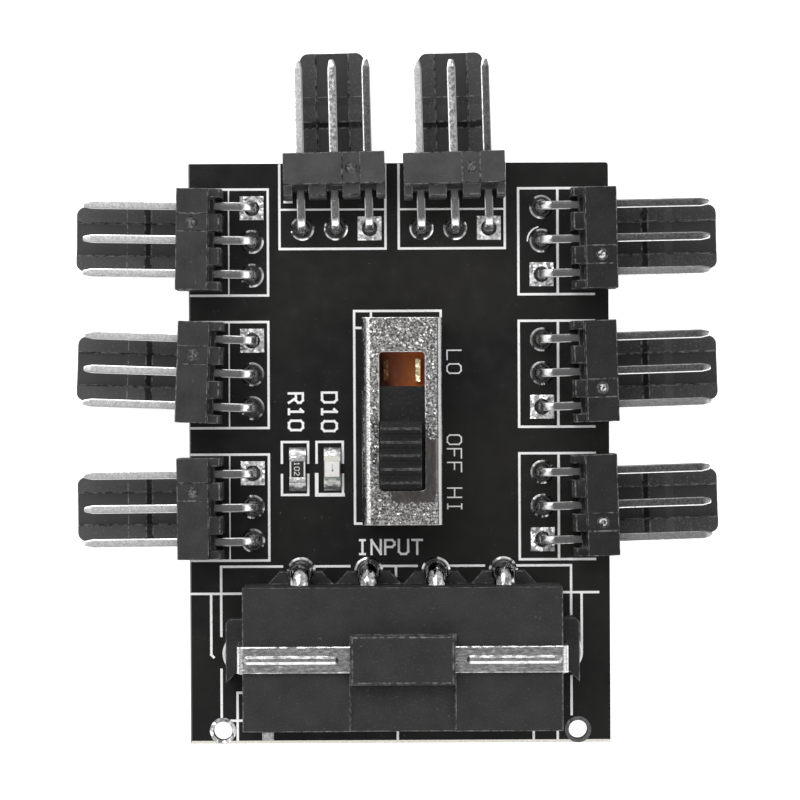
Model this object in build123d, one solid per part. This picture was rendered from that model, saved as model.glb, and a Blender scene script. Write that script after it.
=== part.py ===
from build123d import *
import os
from math import hypot, radians, sin

# A small hub that feeds eight fans from one drive power plug. Millimetres, +Z up.
# +Y points to the two rear fan headers. The tails of the soldered pins end on Z = 0,
# and X = Y = 0 is the middle of the outline.

# Circuit board
board_thickness = 1.6
board_shift = 0.13  # board's middle right of the outline's middle
front_score_lean = 0.25  # how far a snapped edge leans in at the faces
left_score_lean = 0.12
score_depth = 0.5
board_corner = 0.2  # the routed rear corner on the right
corner_hole_diameter = 1.4
corner_hole_from_side = 2.45
corner_hole_from_front = 1.0

# Solder joints
tail_reach = 1.5  # tails below the board
tail_bare = 0.45  # tail end that the solder leaves bare
pad_thickness = 0.09
pad_rim = 0.16  # width of a tinned pad's sloped edge
plating_gap = 0.02
solder_climb = 0.2  # solder up the pin above the board
neck_margin = 0.02  # solder ring round a pin's corners
solder_play = 0.1  # room left round solder by the mouldings
hole_margin = 0.03

# Fan headers: places on the board
header_from_edge = 4.92  # middle pin's hole to the board edge that the header faces
side_header_from_rear = 5.9
side_header_step = 10.0
rear_header_spacing = 9.0
rear_header_shift = -0.07  # the pair's middle from the outline's middle
tails_gap = 0.38  # between the front side headers' pads and the power connector's pads
left_askew = (0.4, -2.2, -1.0)  # degrees that each header sits off true, front to rear
rear_askew = (1.1, 1.4)  # left to right
right_askew = (1.0, 1.7, 1.7)  # rear to front

# Fan header pins
pin_count = 3
pin_pitch = 2.54
pin_size = 0.64
pin_height = 3.2  # axis of the mating end above the board
pin_bend_radius = 0.8
pin_reach = 7.03  # from the block's front to the tip
pin_taper_length = 0.65
pin_tip_size = 0.36
header_pad_size = 1.8

# Fan header housing, measured from the middle pin's hole outwards
block_rear = 3.15
block_depth = 2.37
block_height = 6.0
block_end_margin = 1.25  # past the outer pins' axes
teeth_depth = 1.0
teeth_drop = 0.9  # teeth below the block's top
teeth_edge_break = 0.2
slot_width = 1.2
collar_depth = 0.4  # plastic round each pin at the back of its slot
collar_rise = 0.45  # above the pin's axis
pin_fit = 0.01
strip_width = 1.3  # shallow strip on the block's top that marks pin 1's side
strip_sink = 0.12
mark_diameter = 0.76  # ejector mark in that strip
mark_sink = 0.06
tongue_length = 7.63
tongue_relief = 0.23  # narrower than the span of the outer pins' axes
tongue_lift = 0.3  # underside above the board's top
tongue_thickness = 0.95
tongue_corner = 0.65
ramp_from_tip = 3.32
ramp_length = 0.63
ridge_length = 1.22
ridge_rise = 0.35
step_length = 0.45
channel_width = 2.45
channel_sink = 0.22

# Power connector
power_pin_count = 4
power_shift = 0.32  # connector's middle right of the outline's middle
power_pitch = 5.08
power_end_margin = 4.18  # outer pin's axis to the housing's side
power_depth = 10.6
power_height = 10.9
power_from_front = 1.53  # housing's front to the board's front edge
power_wall = 1.15
power_rear_wall = 1.9
power_key = 2.2  # chamfer of the mouth's two upper corners
power_pin_diameter = 2.13
power_pin_recess = 1.2  # tip behind the mouth
power_tip_length = 0.9
power_tip_inset = 0.6
power_tail_diameter = 1.58
power_tail_setback = 0.85  # tail's axis behind the housing's rear
power_tail_play = 0.12
power_pad_margin = 0.19
skirt_reach = 0.96
skirt_height = 3.0
skirt_boss_width = 3.2  # at its outer edge
skirt_notch = 0.06  # left open between two bosses at the housing
ear_reach = 1.4
ear_height = 5.0
ear_length = 4.8
ear_offset = 0.4  # ear's middle behind the strap's
ear_round = 0.5
ear_slant = 0.85
bridge_width = 7.74
bridge_length = 3.68
bridge_rise = 1.35
bridge_edge_break = 0.15
front_recess = 0.3  # shallow step between the bridge and the housing's front

# Hold-down strap
strap_width = 1.95
strap_sheet = 0.35
strap_bend = 0.1  # inner radius
strap_fit = 0.03
strap_leg_width = 1.1  # where it passes through the board
strap_leg_tip = 0.3
rib_width = 0.63
rib_rise = 0.2
rib_slope = 0.2  # width of its sloped side
rib_drop = 0.15  # height of that side
rib_gap = 0.85  # from the bridge to the rib's end
strap_pad_margin = 0.97

# Slide switch
switch_shift = 0.36  # switch's middle right of the outline's middle
switch_from_tails = 11.35  # switch's middle behind the power connector's tails
switch_width = 6.0
switch_height = 5.6
frame_sheet = 0.35
frame_bend = 0.35  # inner radius
frame_lip = 1.0
frame_tab_length = 2.4
frame_tab_from_end = 1.6
frame_skirt_lift = 0.9  # sides stop this far above the board between the tabs
window_width = 3.4
window_corner = 0.25
base_fit = 0.05
base_floor = 2.0
base_end_wall = 0.4
slider_width = 4.1
slider_thickness = 1.0
slider_play = 0.1
slider_tail = 2.66  # plate past the knob at both ends
slider_end_play = 0.06  # plate's end to the frame's end when the knob is right home
knob_side_play = 0.17
knob_end_play = 0.12
knob_offset = -0.1  # knob's middle left of the window's middle
knob_rise = 3.4
detent_step = 2.54
ridge_count = 5
ridge_pitch = 1.0
crest_flat = 0.12
groove_depth = 0.42
knob_shoulder = 0.5  # last crest to the knob's end

# Switch contacts
terminals_per_row = 4
terminal_row_spacing = 2.4
terminal_sheet = 0.35
terminal_length = 1.7
terminal_top_play = 0.35  # terminal's top under the clip's roof
terminal_leg_width = 0.6
terminal_pad_diameter = 1.5
clip_sheet = 0.15
clip_play = 0.05
clip_floor_play = 0.2  # clip's lower edge above the base's floor
clip_overlap = 0.6  # clip's reach onto the two terminals that it joins, past their middles

# Chip lamp and chip resistor, side by side left of the switch
chip_length = 2.0
chip_width = 1.25
chip_lift = 0.05
chip_solder_length = 0.65
chip_solder_height = 0.4
lamp_from_switch = 2.06  # lamp's middle to the switch's side
resistor_from_lamp = 2.62
resistor_to_pads = 2.35
chips_behind_tails = 7.75  # chips' middle from the power connector's tails
resistor_height = 0.5
resistor_cap_length = 0.4
resistor_cap_wall = 0.04
lamp_base_height = 0.35
lamp_lens_height = 0.5
lamp_lens_length = 1.3
lamp_lens_taper = 8.0

# Heights
board_bottom = tail_reach
board_top = board_bottom + board_thickness

# Fan header, worked out
block_front = block_rear + block_depth
tongue_tip = block_front + tongue_length
row_half = (pin_count - 1) * pin_pitch / 2
block_width = 2 * (row_half + block_end_margin)
tongue_width = 2 * row_half - tongue_relief
pin_offsets = [row_half - index * pin_pitch for index in range(pin_count)]
pin_diagonal = pin_size * hypot(1, 1)
worst_askew = max(abs(angle) for angle in left_askew + rear_askew + right_askew)
askew_shift = row_half * sin(radians(worst_askew))
header_hole = pin_diagonal + 2 * (askew_shift + hole_margin + plating_gap)

# Board outline, worked out from what stands on it.
# The two side columns of headers stand evenly about the outline's middle.
side_column_x = (
    switch_width / 2 + lamp_from_switch + resistor_from_lamp + resistor_to_pads + header_pad_size / 2
)
power_hole = power_tail_diameter + 2 * power_tail_play
power_pad = power_hole + 2 * power_pad_margin
last_header_to_tails = row_half + header_pad_size / 2 + tails_gap + power_pad / 2
board_width = 2 * (side_column_x + header_from_edge)
board_length = (
    side_header_from_rear
    + 2 * side_header_step
    + last_header_to_tails
    + power_tail_setback
    + power_depth
    + power_from_front
)
board_rear = (board_length - (tongue_tip - header_from_edge)) / 2
board_front = board_rear - board_length
board_middle = (board_rear + board_front) / 2

# Power connector, worked out
power_front = board_front + power_from_front
power_rear = power_front + power_depth
power_middle = (power_front + power_rear) / 2
tail_row = power_rear + power_tail_setback
power_half = (power_pin_count - 1) * power_pitch / 2 + power_end_margin
power_offsets = [(index - (power_pin_count - 1) / 2) * power_pitch for index in range(power_pin_count)]
power_axis = board_top + power_height / 2
power_roof = board_top + power_height
strap_inside = power_half + strap_fit
strap_outside = strap_inside + strap_sheet
strap_leg_x = strap_inside + strap_sheet / 2
strap_hole = hypot(strap_leg_width, strap_sheet) + 2 * (hole_margin + plating_gap)
strap_pad = strap_hole + 2 * strap_pad_margin

# Switch, worked out
switch_y = tail_row + switch_from_tails
knob_length = (ridge_count - 1) * ridge_pitch + 2 * knob_shoulder
window_length = knob_length + 2 * (detent_step + knob_end_play)
switch_length = knob_length + 2 * (detent_step + slider_tail + slider_end_play)
base_bottom = board_top + frame_sheet
frame_ceiling = board_top + switch_height - frame_sheet
floor_top = base_bottom + base_floor
slider_top = frame_ceiling - slider_play
slider_bottom = slider_top - slider_thickness
clip_bottom = floor_top + clip_floor_play
terminal_top = slider_bottom - clip_sheet - terminal_top_play
knob_top = board_top + switch_height + knob_rise
knob_rest_y = switch_y - detent_step
terminal_offsets = [
    (index - (terminals_per_row - 1) / 2) * detent_step for index in range(terminals_per_row)
]
terminal_hole = hypot(terminal_leg_width, terminal_sheet) + 2 * (hole_margin + plating_gap)

# Chips, worked out
chip_y = tail_row + chips_behind_tails
lamp_x = board_shift - switch_width / 2 - lamp_from_switch
resistor_x = lamp_x - resistor_from_lamp
chip_bottom = board_top + chip_lift

nodes = {}


# A block between two corners
def block_between(low, high):
    size = [high[axis] - low[axis] for axis in range(3)]
    return Pos(*low) * Box(*size, align=(Align.MIN, Align.MIN, Align.MIN))


# An upright round bar
def round_bar(x, y, bottom, top, diameter):
    return Pos(x, y, bottom) * Cylinder(
        diameter / 2, top - bottom, align=(Align.CENTER, Align.CENTER, Align.MIN)
    )


# Where each header stands: its middle hole, the way it faces and how far it sits askew
def header_spots():
    first_row = board_rear - side_header_from_rear
    rows = [first_row - index * side_header_step for index in range(3)]
    spots = []
    for y, askew in zip(reversed(rows), left_askew):
        spots.append((-side_column_x, y, 90, askew))
    for side, askew in zip((-1, 1), rear_askew):
        x = rear_header_shift + side * rear_header_spacing / 2
        spots.append((x, board_rear - header_from_edge, 0, askew))
    for y, askew in zip(rows, right_askew):
        spots.append((side_column_x, y, -90, askew))
    return spots


# The solder of one plated hole: pad rings on both faces, the filled barrel, a collar on top
# and a cone below. It is turned about the hole's axis, with the board's top at zero height.
def solder_joint(pad_diameter, hole_diameter, neck_diameter):
    barrel = hole_diameter / 2 - plating_gap
    pad = pad_diameter / 2
    neck = neck_diameter / 2 + neck_margin
    cone_end = -board_thickness - tail_reach + tail_bare
    outline = Polyline(
        (0, solder_climb),
        (neck, solder_climb),
        (barrel, pad_thickness),
        (pad - pad_rim, pad_thickness),
        (pad, 0),
        (barrel, 0),
        (barrel, -board_thickness),
        (pad, -board_thickness),
        (neck, cone_end),
        (0, cone_end),
        close=True,
    )
    return revolve(Plane.XZ * make_face(outline), Axis.Z)


# Pin 1 of a header has square pads
def square_pads():
    barrel = header_hole / 2 - plating_gap
    inner_size = header_pad_size - 2 * pad_rim
    foot = Rectangle(header_pad_size, header_pad_size)
    plate = loft([foot, Pos(0, 0, pad_thickness) * Rectangle(inner_size, inner_size)])
    plate -= round_bar(0, 0, 0, pad_thickness, 2 * barrel)
    return plate + Pos(0, 0, -board_thickness) * mirror(plate, Plane.XY)


# One square header pin: a tapered mating end, a bend and a tail. The hole's axis is X = Y = 0
# and the board's top is Z = 0.
def header_pin():
    straight_end = block_front + pin_reach - pin_taper_length
    route = FilletPolyline(
        (0, straight_end, pin_height),
        (0, 0, pin_height),
        (0, 0, -board_top),
        radius=pin_bend_radius,
    )
    bar = sweep(Plane(route @ 0, z_dir=route % 0) * Rectangle(pin_size, pin_size), route)
    taper_base = Plane((0, straight_end, pin_height), z_dir=(0, 1, 0))
    taper = loft(
        [
            taper_base * Rectangle(pin_size, pin_size),
            taper_base.offset(pin_taper_length) * Rectangle(pin_tip_size, pin_tip_size),
        ]
    )
    return bar + taper


# The lock tongue under the pins: two rails with a catch ridge, and a channel between them
def header_tongue():
    root = block_front - block_depth / 2
    ramp_start = tongue_tip - ramp_from_tip
    ridge_start = ramp_start - ramp_length
    ridge_end = ridge_start - ridge_length
    step_end = ridge_end - step_length
    flat = tongue_lift + tongue_thickness
    crest = flat + ridge_rise
    surface = [
        (tongue_tip, flat),
        (ramp_start, flat),
        (ridge_start, crest),
        (ridge_end, crest),
        (step_end, flat),
        (root, flat),
    ]
    side = make_face(Polyline((root, tongue_lift), (tongue_tip, tongue_lift), *surface, close=True))
    rails = extrude(Plane.YZ * side, tongue_width / 2, both=True)
    tip_corners = rails.edges().filter_by(Axis.Z).group_by(Axis.Y)[-1]
    rails = fillet(tip_corners, tongue_corner)
    sunk = [(along, height - channel_sink) for along, height in surface]
    sunk[0] = (tongue_tip + tongue_corner, flat - channel_sink)
    above = crest + channel_sink
    opening = make_face(Polyline((tongue_tip + tongue_corner, above), *sunk, (root, above), close=True))
    return rails - extrude(Plane.YZ * opening, channel_width / 2, both=True)


# The moulded housing of one header
def header_housing():
    half = block_width / 2
    block = block_between((-half, block_rear, 0), (half, block_front, block_height))
    teeth_end = block_rear - teeth_depth
    teeth_top = block_height - teeth_drop
    ledge = block_between((-half, teeth_end, 0), (half, block_rear + teeth_edge_break, teeth_top))
    ledge_back = ledge.faces().sort_by(Axis.Y)[0]
    ledge = chamfer(ledge_back.edges().sort_by(Axis.Z)[-1], teeth_edge_break)
    housing = block + ledge + header_tongue()
    collar_end = block_rear - collar_depth
    collar_top = pin_height + collar_rise
    pin_room = pin_size / 2 + pin_fit
    cuts = []
    for x in pin_offsets:
        side = slot_width / 2
        cuts.append(block_between((x - side, teeth_end, 0), (x + side, collar_end, teeth_top)))
        cuts.append(block_between((x - side, teeth_end, collar_top), (x + side, block_rear, teeth_top)))
        cuts.append(
            block_between(
                (x - pin_room, teeth_end, pin_height - pin_room),
                (x + pin_room, block_front, pin_height + pin_room),
            )
        )
    strip_x = (pin_offsets[0] + pin_offsets[1]) / 2
    strip_floor = block_height - strip_sink
    strip_half = strip_width / 2
    cuts.append(
        block_between(
            (strip_x - strip_half, block_rear, strip_floor),
            (strip_x + strip_half, block_front, block_height),
        )
    )
    mark_y = (block_rear + block_front) / 2
    cuts.append(round_bar(strip_x, mark_y, strip_floor - mark_sink, block_height, mark_diameter))
    return housing - cuts


# The eight headers with their pins and solder
def add_headers():
    housing = header_housing()
    pin = header_pin()
    round_joint = solder_joint(header_pad_size, header_hole, pin_diagonal)
    square_joint = solder_joint(header_pad_size, header_hole, pin_diagonal) + square_pads()
    joints = []
    for number, (x, y, facing, askew) in enumerate(header_spots(), start=1):
        true_place = Location((x, y, board_top), (0, 0, facing))
        place = Location((x, y, board_top), (0, 0, facing + askew))
        nodes[f"fan_header_{number}_housing"] = place * housing
        for index, offset in enumerate(pin_offsets, start=1):
            placed_pin = place * Pos(offset, 0, 0) * pin
            nodes[f"fan_header_{number}_pin_{index}"] = placed_pin
            joint = square_joint if index == 1 else round_joint
            joints.append(true_place * Pos(offset, 0, 0) * joint - placed_pin)
    nodes["fan_header_solder"] = Compound(joints)


# Every plated hole for a header pin
def header_holes():
    holes = []
    for x, y, facing, askew in header_spots():
        for offset in pin_offsets:
            spot = (Location((x, y, 0), (0, 0, facing)) * Pos(offset, 0, 0)).position
            holes.append((spot.X, spot.Y, header_hole))
    return holes


# The board: snapped edges in front and on the left, one rounded corner, and all its holes
def add_board():
    half = board_width / 2
    board = block_between(
        (board_shift - half, board_front, board_bottom), (board_shift + half, board_rear, board_top)
    )
    rear_corners = board.edges().filter_by(Axis.Z).group_by(Axis.Y)[-1]
    board = fillet(rear_corners.sort_by(Axis.X)[-1], board_corner)
    for axis, lean in ((Axis.X, left_score_lean), (Axis.Y, front_score_lean)):
        for end in (0, -1):
            face = board.faces().sort_by(Axis.Z)[end]
            board = chamfer(face.edges().sort_by(axis)[0], lean, score_depth, reference=face)
    holes = header_holes()
    for x in power_offsets:
        holes.append((power_shift + x, tail_row, power_hole))
    for side in (-1, 1):
        holes.append((power_shift + side * strap_leg_x, power_middle, strap_hole))
        corner_x = board_shift + side * (half - corner_hole_from_side)
        holes.append((corner_x, board_front + corner_hole_from_front, corner_hole_diameter))
        terminal_x = switch_shift + side * terminal_row_spacing / 2
        for offset in terminal_offsets:
            holes.append((terminal_x, switch_y + offset, terminal_hole))
    nodes["circuit_board"] = board - [
        round_bar(x, y, board_bottom, board_top, diameter) for x, y, diameter in holes
    ]


# Room under a moulding for a pad and the solder on it
def solder_room(x, y, pad_diameter):
    room = pad_diameter + 2 * solder_play
    return round_bar(x, y, board_top, board_top + solder_climb + solder_play, room)


# Low bosses behind the power housing, one round each tail
def power_skirt():
    base_half = power_pitch / 2 - skirt_notch
    edge_half = skirt_boss_width / 2
    boss = make_face(
        Polyline(
            (-base_half, -power_rear_wall / 2),
            (base_half, -power_rear_wall / 2),
            (base_half, 0),
            (edge_half, skirt_reach),
            (-edge_half, skirt_reach),
            (-base_half, 0),
            close=True,
        )
    )
    boss = extrude(boss, skirt_height)
    notch = power_tail_diameter + 2 * power_tail_play
    bosses = []
    for x in power_offsets:
        bosses.append(
            Pos(x, power_rear, board_top) * boss
            - round_bar(x, tail_row, board_top, power_roof, notch)
        )
    return bosses


# The ear at the housing's right side that guides a strap leg, with a slanted front
def power_ear():
    half_length = ear_length / 2
    root = power_half - power_wall / 2
    tip = power_half + ear_reach
    plan = make_face(
        Polyline(
            (root, half_length),
            (tip, half_length),
            (tip, -half_length),
            (tip - ear_slant, ear_slant - half_length),
            (root, ear_slant - half_length),
            close=True,
        )
    )
    rear_corner = plan.vertices().group_by(Axis.Y)[-1].sort_by(Axis.X)[-1]
    plan = fillet(rear_corner, ear_round)
    slot = Rectangle(strap_sheet + 2 * strap_fit, strap_width + 2 * strap_fit)
    plan -= Pos(strap_leg_x, -ear_offset) * slot
    return Pos(0, power_middle + ear_offset, board_top) * extrude(plan, ear_height)


# The power housing: an open-fronted shell with a keyed mouth, and a bridge over the strap
def add_power_housing():
    shell = block_between((-power_half, power_front, board_top), (power_half, power_rear, power_roof))
    mouth_width = 2 * (power_half - power_wall)
    mouth_height = power_height - 2 * power_wall
    mouth = Rectangle(mouth_width, mouth_height)
    mouth = chamfer(mouth.vertices().group_by(Axis.Y)[-1], power_key)
    mouth_plane = Plane((0, power_front, power_axis), x_dir=(1, 0, 0), z_dir=(0, -1, 0))
    shell -= extrude(mouth_plane * mouth, power_rear_wall - power_depth)
    bridge_half = bridge_width / 2
    bridge_top = power_roof + bridge_rise
    bridge = block_between(
        (-bridge_half, power_middle - bridge_length / 2, power_roof - power_wall / 2),
        (bridge_half, power_middle + bridge_length / 2, bridge_top),
    )
    bridge = chamfer(bridge.faces().sort_by(Axis.Z)[-1].edges(), bridge_edge_break)
    housing = shell + bridge + power_skirt()
    housing += power_ear()
    housing += mirror(power_ear(), Plane.YZ)
    tunnel_half = strap_width / 2 + strap_fit
    cuts = [
        block_between(
            (-strap_inside, power_middle - tunnel_half, power_roof),
            (strap_inside, power_middle + tunnel_half, power_roof + strap_sheet + 2 * strap_fit),
        ),
        block_between(
            (-bridge_half, power_front, power_roof - front_recess),
            (bridge_half, power_middle - bridge_length / 2, power_roof),
        ),
    ]
    for x in power_offsets:
        bore = power_tail_diameter / 2 + pin_fit
        axis = Plane((x, power_rear, power_axis), z_dir=(0, -1, 0))
        cuts.append(extrude(axis * Circle(bore), power_rear_wall))
        cuts.append(solder_room(x, tail_row, power_pad))
    for side in (-1, 1):
        cuts.append(solder_room(side * strap_leg_x, power_middle, strap_pad))
    nodes["power_housing"] = Pos(power_shift, 0, 0) * (housing - cuts)


# One power pin: a round mating end with a tapered tip, and a thinner tail bent into the board
def power_pin():
    seat = power_rear - power_rear_wall
    tip = power_front + power_pin_recess
    barrel = extrude(
        Plane((0, seat, power_axis), z_dir=(0, -1, 0)) * Circle(power_pin_diameter / 2), seat - tip
    )
    tip_face = barrel.faces().sort_by(Axis.Y)[0]
    barrel = chamfer(tip_face.edges(), power_tip_inset, power_tip_length, reference=tip_face)
    route = FilletPolyline(
        (0, seat - power_tail_diameter / 2, power_axis),
        (0, tail_row, power_axis),
        (0, tail_row, 0),
        radius=power_tail_setback - pin_fit,
    )
    tail = sweep(Plane(route @ 0, z_dir=route % 0) * Circle(power_tail_diameter / 2), route)
    return barrel + tail


# The strap: a sheet band over the housing, ribbed on each side of the bridge, with two legs
def power_strap():
    top = power_roof + strap_fit + strap_sheet
    leg_end = board_bottom - tail_reach + strap_leg_tip
    outer_radius = strap_bend + strap_sheet
    outer = make_face(
        FilletPolyline(
            (-strap_outside, leg_end),
            (-strap_outside, top),
            (strap_outside, top),
            (strap_outside, leg_end),
            radius=outer_radius,
        )
        + Line((strap_outside, leg_end), (-strap_outside, leg_end))
    )
    inner = make_face(
        FilletPolyline(
            (-strap_inside, leg_end),
            (-strap_inside, top - strap_sheet),
            (strap_inside, top - strap_sheet),
            (strap_inside, leg_end),
            radius=strap_bend,
        )
        + Line((strap_inside, leg_end), (-strap_inside, leg_end))
    )
    band_plane = Plane((0, power_middle, 0), x_dir=(1, 0, 0), z_dir=(0, -1, 0))
    band = extrude(band_plane * (outer - inner), strap_width / 2, both=True)
    leg_side = strap_leg_width / 2
    for side in (-1, 1):
        low = power_middle + side * leg_side
        high = power_middle + side * strap_width
        band -= block_between(
            (-strap_outside, min(low, high), leg_end), (strap_outside, max(low, high), board_top)
        )
    rib_start = bridge_width / 2 + rib_gap
    rib_end = strap_outside - outer_radius
    rib = extrude(SlotOverall(rib_end - rib_start, rib_width), rib_rise)
    rib_top = rib.faces().sort_by(Axis.Z)[-1]
    rib = chamfer(rib_top.edges(), rib_slope, rib_drop, reference=rib_top)
    for side in (-1, 1):
        band += Pos(side * (rib_start + rib_end) / 2, power_middle, top) * rib
    return band


# Power pins, strap and their solder
def add_power_metal():
    pin = power_pin()
    joint = solder_joint(power_pad, power_hole, power_tail_diameter)
    joints = []
    for number, x in enumerate(power_offsets, start=1):
        placed = Pos(power_shift + x, 0, 0) * pin
        nodes[f"power_pin_{number}"] = placed
        joints.append(Pos(power_shift + x, tail_row, board_top) * joint - placed)
    strap = Pos(power_shift, 0, 0) * power_strap()
    nodes["power_strap"] = strap
    leg_joint = solder_joint(strap_pad, strap_hole, hypot(strap_leg_width, strap_sheet))
    for side in (-1, 1):
        leg_x = power_shift + side * strap_leg_x
        joints.append(Pos(leg_x, power_middle, board_top) * leg_joint - strap)
    nodes["power_solder"] = Compound(joints)


# The switch's folded frame: a sheet channel with a window, held by four tabs bent under the base
def switch_frame():
    inside = RectangleRounded(switch_width - 2 * frame_sheet, switch_height - 2 * frame_sheet, frame_bend)
    outside = RectangleRounded(switch_width, switch_height, frame_bend + frame_sheet)
    section = Plane.XZ * Pos(0, switch_height / 2) * (outside - inside)
    frame = extrude(section, switch_length / 2, both=True)
    wide = switch_width / 2
    end = switch_length / 2
    tab_near = end - frame_tab_from_end
    tab_far = tab_near - frame_tab_length
    lip_x = wide - frame_lip
    cuts = [block_between((-lip_x, -end, 0), (lip_x, end, switch_height / 2))]
    for low, high in ((-end, -tab_near), (-tab_far, tab_far), (tab_near, end)):
        cuts.append(block_between((-wide, low, 0), (wide, high, frame_skirt_lift)))
    window = extrude(RectangleRounded(window_width, window_length, window_corner), switch_height)
    cuts.append(Pos(0, 0, switch_height / 2) * window)
    return frame - cuts


# The moulded base: a tray that fills the frame, open at the slider's ends, with slits for the
# terminals' legs
def switch_base():
    half = switch_width / 2 - frame_sheet - base_fit
    end = switch_length / 2
    base = block_between((-half, -end, base_bottom), (half, end, frame_ceiling))
    base = chamfer(base.edges().filter_by(Axis.Y), frame_bend)
    channel = slider_width / 2 + slider_play
    inside = end - base_end_wall
    track = slider_bottom - slider_play
    cuts = [
        block_between((-channel, -inside, floor_top), (channel, inside, frame_ceiling)),
        block_between((-channel, -end, track), (channel, end, frame_ceiling)),
    ]
    slit_x = terminal_sheet / 2 + pin_fit
    slit_y = terminal_leg_width / 2 + pin_fit
    for side in (-1, 1):
        x = side * terminal_row_spacing / 2
        for y in terminal_offsets:
            cuts.append(
                block_between((x - slit_x, y - slit_y, base_bottom), (x + slit_x, y + slit_y, floor_top))
            )
    return base - cuts


# The slider: a plate under the frame and a ridged knob through the window
def switch_slider():
    plate_half = slider_width / 2
    knob_half = knob_length / 2
    plate = block_between(
        (-plate_half, -knob_half - slider_tail, slider_bottom),
        (plate_half, knob_half + slider_tail, slider_top),
    )
    groove = knob_top - groove_depth
    outline = [(-knob_half, slider_top), (-knob_half, groove)]
    for index in range(ridge_count):
        middle = (index - (ridge_count - 1) / 2) * ridge_pitch
        if index > 0:
            outline.append((middle - ridge_pitch / 2, groove))
        outline.append((middle - crest_flat / 2, knob_top))
        outline.append((middle + crest_flat / 2, knob_top))
    outline += [(knob_half, groove), (knob_half, slider_top)]
    knob_side = window_width / 2 - knob_side_play
    knob = extrude(Plane.YZ * make_face(Polyline(*outline, close=True)), knob_side, both=True)
    return plate + Pos(knob_offset, 0, 0) * knob


# A spring clip that rides under the slider and joins two neighbouring terminals of one row
def switch_clip():
    inside = terminal_sheet / 2 + clip_play
    outside = inside + clip_sheet
    half_length = detent_step / 2 + clip_overlap
    clip = block_between((-outside, -half_length, clip_bottom), (outside, half_length, slider_bottom))
    gap = block_between(
        (-inside, -half_length, clip_bottom), (inside, half_length, slider_bottom - clip_sheet)
    )
    return clip - gap


# A fixed terminal: a blade on the base's floor and a narrower leg through the board
def switch_terminal():
    thin = terminal_sheet / 2
    blade = block_between(
        (-thin, -terminal_length / 2, floor_top), (thin, terminal_length / 2, terminal_top)
    )
    leg_half = terminal_leg_width / 2
    return blade + block_between((-thin, -leg_half, 0), (thin, leg_half, floor_top))


# The switch, with its slider at the front position
def add_switch():
    nodes["switch_frame"] = Pos(switch_shift, switch_y, board_top) * switch_frame()
    nodes["switch_base"] = Pos(switch_shift, switch_y, 0) * switch_base()
    nodes["switch_slider"] = Pos(switch_shift, knob_rest_y, 0) * switch_slider()
    clip = switch_clip()
    terminal = switch_terminal()
    joint = solder_joint(terminal_pad_diameter, terminal_hole, hypot(terminal_leg_width, terminal_sheet))
    joints = []
    for side, name in ((-1, "left"), (1, "right")):
        x = switch_shift + side * terminal_row_spacing / 2
        nodes[f"switch_contact_{name}"] = Pos(x, knob_rest_y, 0) * clip
        row = []
        for offset in terminal_offsets:
            placed = Pos(x, switch_y + offset, 0) * terminal
            row.append(placed)
            joints.append(Pos(x, switch_y + offset, board_top) * joint - placed)
        nodes[f"switch_terminals_{name}"] = Compound(row)
    nodes["switch_solder"] = Compound(joints)


# A solder fillet at one end of a chip, hollow on its slope
def chip_fillet(width):
    slope = RadiusArc((0, chip_solder_height), (chip_solder_length, 0), chip_solder_length)
    side = make_face(Line((0, 0), (0, chip_solder_height)) + slope + Line((chip_solder_length, 0), (0, 0)))
    return extrude(Plane.YZ * side, width / 2, both=True)


# The chip resistor and the chip lamp
def add_chips():
    half = chip_length / 2
    side = chip_width / 2
    body_low = (-side + resistor_cap_wall, resistor_cap_wall - half, resistor_cap_wall)
    body_high = (side - resistor_cap_wall, half - resistor_cap_wall, resistor_height - resistor_cap_wall)
    body = block_between(body_low, body_high)
    caps = []
    for low, high in ((-half, resistor_cap_length - half), (half - resistor_cap_length, half)):
        caps.append(block_between((-side, low, 0), (side, high, resistor_height)) - body)
    resistor_place = Pos(resistor_x, chip_y, chip_bottom)
    nodes["resistor_body"] = resistor_place * body
    nodes["resistor_caps"] = Compound([resistor_place * cap for cap in caps])
    lamp_place = Pos(lamp_x, chip_y, chip_bottom)
    lens = extrude(Rectangle(chip_width, lamp_lens_length), lamp_lens_height, taper=lamp_lens_taper)
    nodes["lamp_base"] = lamp_place * block_between((-side, -half, 0), (side, half, lamp_base_height))
    nodes["lamp_lens"] = lamp_place * Pos(0, 0, lamp_base_height) * lens
    fillet_solid = chip_fillet(chip_width)
    fillets = []
    for x in (resistor_x, lamp_x):
        for turn in (0, 180):
            place = Location((x, chip_y, board_top), (0, 0, turn))
            fillets.append(place * Pos(0, half, 0) * fillet_solid)
    nodes["chip_solder"] = Compound(fillets)


add_board()
add_headers()
add_power_housing()
add_power_metal()
add_switch()
add_chips()

os.makedirs("parts", exist_ok=True)
for name, shape in nodes.items():
    export_step(shape, f"parts/{name}.step")
print(len(nodes), "nodes, board", round(board_width, 2), "x", round(board_length, 2), "mm")
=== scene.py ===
import bmesh
import bpy
from math import cos, pi, radians, sin
from mathutils import Matrix, Vector


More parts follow.
